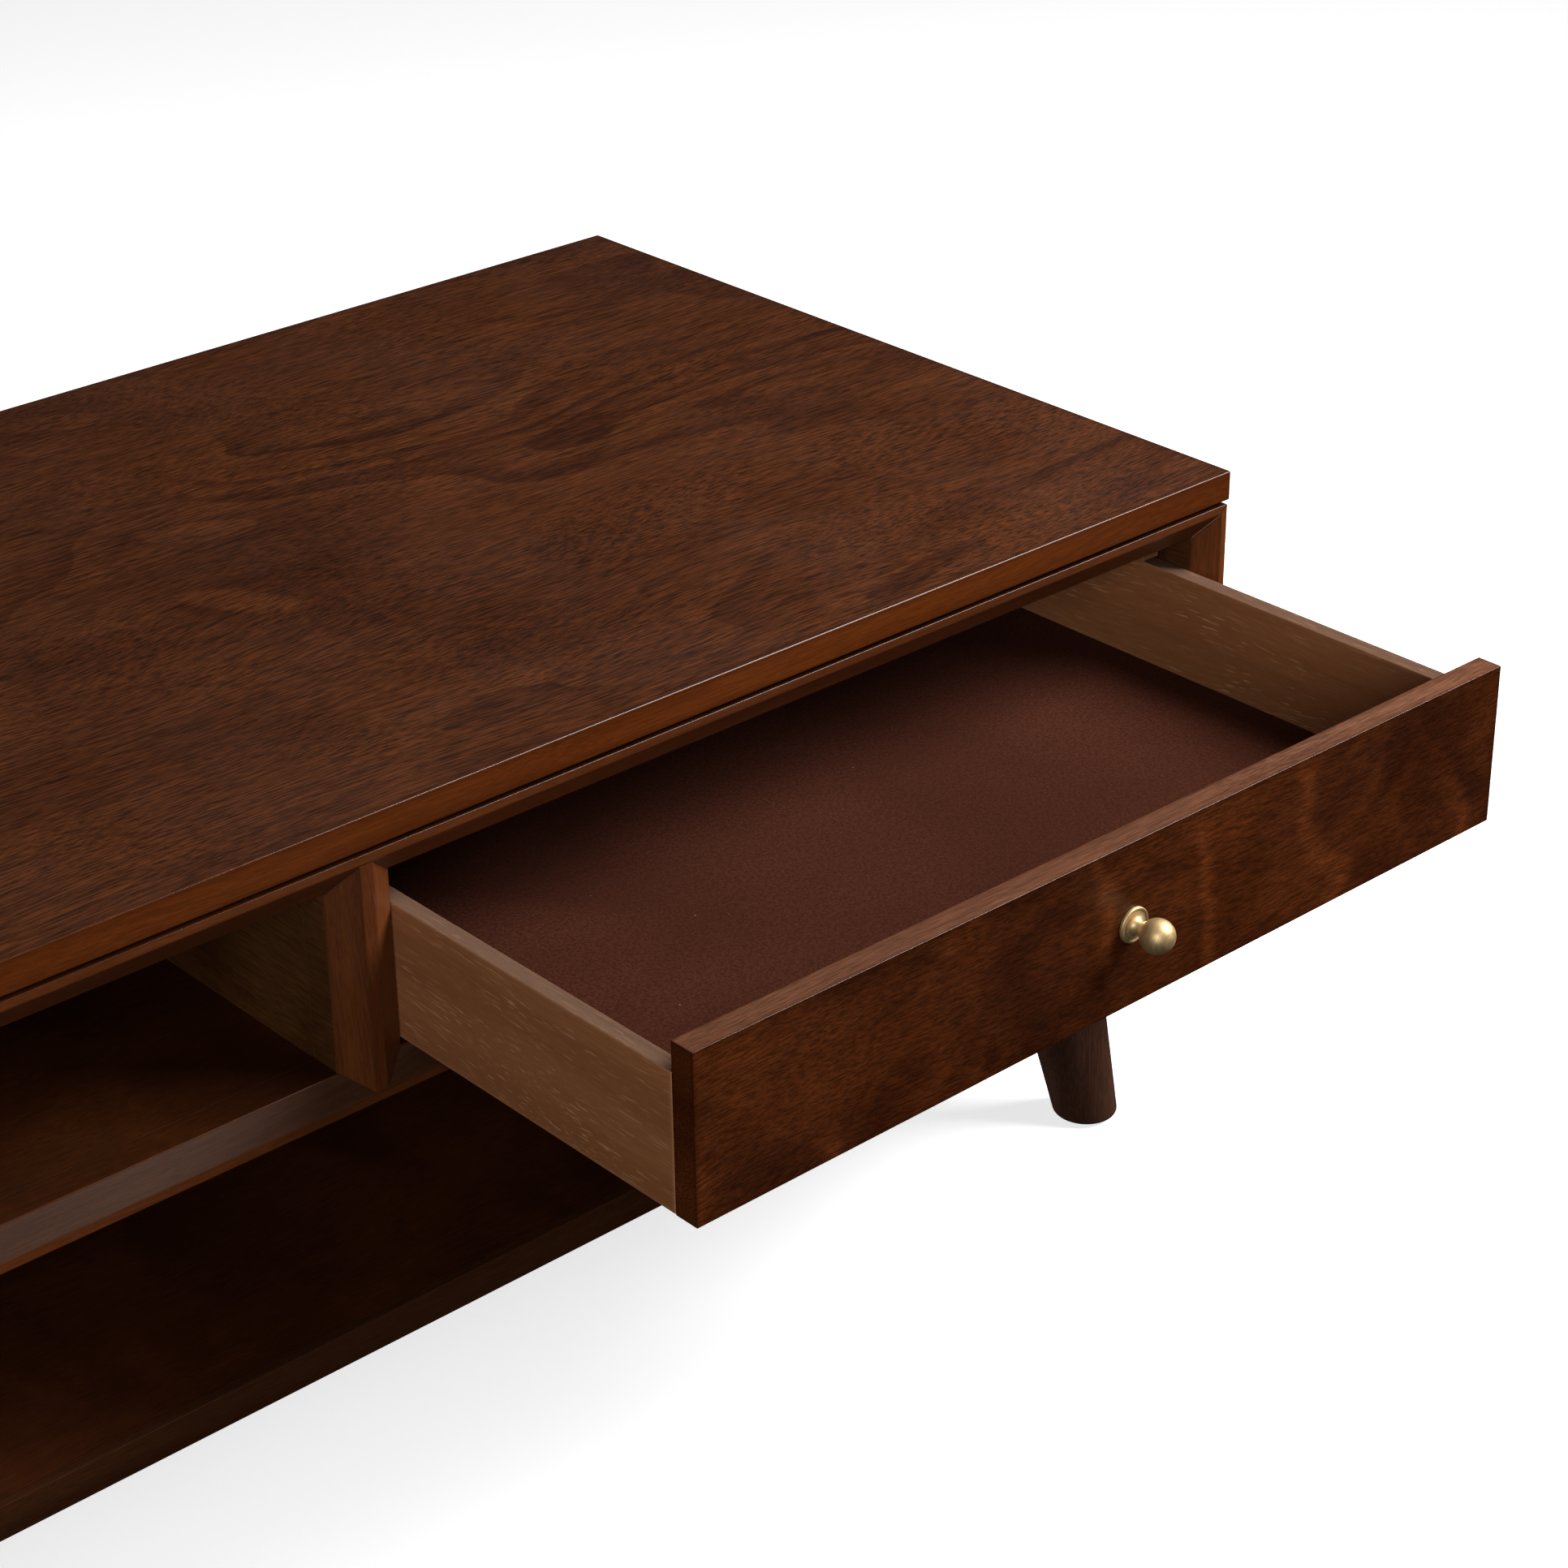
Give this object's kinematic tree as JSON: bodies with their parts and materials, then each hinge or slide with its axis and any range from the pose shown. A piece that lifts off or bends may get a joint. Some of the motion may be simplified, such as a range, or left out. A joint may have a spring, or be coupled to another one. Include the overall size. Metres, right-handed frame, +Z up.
{
  "type": "console television cabinet",
  "caption": "Low walnut media console on splayed tapered legs: bevelled face frame, felt-lined drawer with ball knob, open cubby and open shelf under a floating top.",
  "frame": {"origin": "the point on the floor under the middle of the top", "axes": "+X to the right as seen from the front, +Y to the back, +Z up"},
  "size_m": [1.304, 0.8645, 0.466],
  "materials": {
    "walnut_veneer": "satin lacquer over straight and cathedral-grained veneer",
    "walnut_solid": "satin lacquer over solid bevelled lippings",
    "walnut_inside": "satin dark stain",
    "walnut_figured": "satin lacquer over mottled veneer",
    "drawer_wood": "stained open-pored hardwood, sealed",
    "back_board": "stained thin board",
    "leg_wood": "dark satin lacquer",
    "black_stain": "black stain, matt",
    "felt": "short-napped flocked felt",
    "brass": "satin",
    "steel": "zinc plated",
    "black_plastic": "moulded, fine texture"
  },
  "bodies": {
    "case": {"top_slab": "walnut_veneer", "top_spacer": "black_stain", "left_stile": "walnut_solid", "right_stile": "walnut_solid", "top_rail": "walnut_solid", "mid_rail": "walnut_solid", "divider_post": "walnut_solid", "left_side_panel": "walnut_veneer", "right_side_panel": "walnut_veneer", "divider_panel_left": "walnut_inside", "divider_panel_right": "walnut_inside", "case_top_panel": "walnut_inside", "deck_panel": "walnut_inside", "bottom_shelf": "walnut_inside", "shelf_lipping": "walnut_solid", "back_panel_cubby": "back_board", "back_panel_drawer": "back_board", "back_panel_shelf": "back_board", "cable_grommet_cubby": "black_plastic", "cable_grommet_shelf": "black_plastic", "drawer_slip_left": "drawer_wood", "drawer_slip_right": "drawer_wood", "drawer_kicker_left": "drawer_wood", "drawer_kicker_right": "drawer_wood", "drawer_stop_left": "drawer_wood", "drawer_stop_right": "drawer_wood", "drawer_centre_runner": "drawer_wood", "leg_front_left": "leg_wood", "leg_front_right": "leg_wood", "leg_back_left": "leg_wood", "leg_back_right": "leg_wood", "leg_bolt_front_left": "steel", "leg_bolt_front_right": "steel", "leg_bolt_back_left": "steel", "leg_bolt_back_right": "steel", "leg_plate_front_left": "steel", "leg_plate_front_right": "steel", "leg_plate_back_left": "steel", "leg_plate_back_right": "steel", "leg_glide_front_left": "black_plastic", "leg_glide_front_right": "black_plastic", "leg_glide_back_left": "black_plastic", "leg_glide_back_right": "black_plastic"},
    "drawer": {"drawer_front": "walnut_figured", "drawer_side_left": "drawer_wood", "drawer_side_right": "drawer_wood", "drawer_back": "drawer_wood", "drawer_bottom": "back_board", "drawer_felt": "felt", "drawer_guide_shoe": "black_plastic", "knob_rose": "brass", "knob": "brass", "knob_screw": "steel"}
  },
  "joints": [
    {"name": "drawer_slide", "type": "slide", "parent": "case", "child": "drawer", "axis": [0, -1, 0], "range_m": [-0.24, 0.16]}
  ]
}
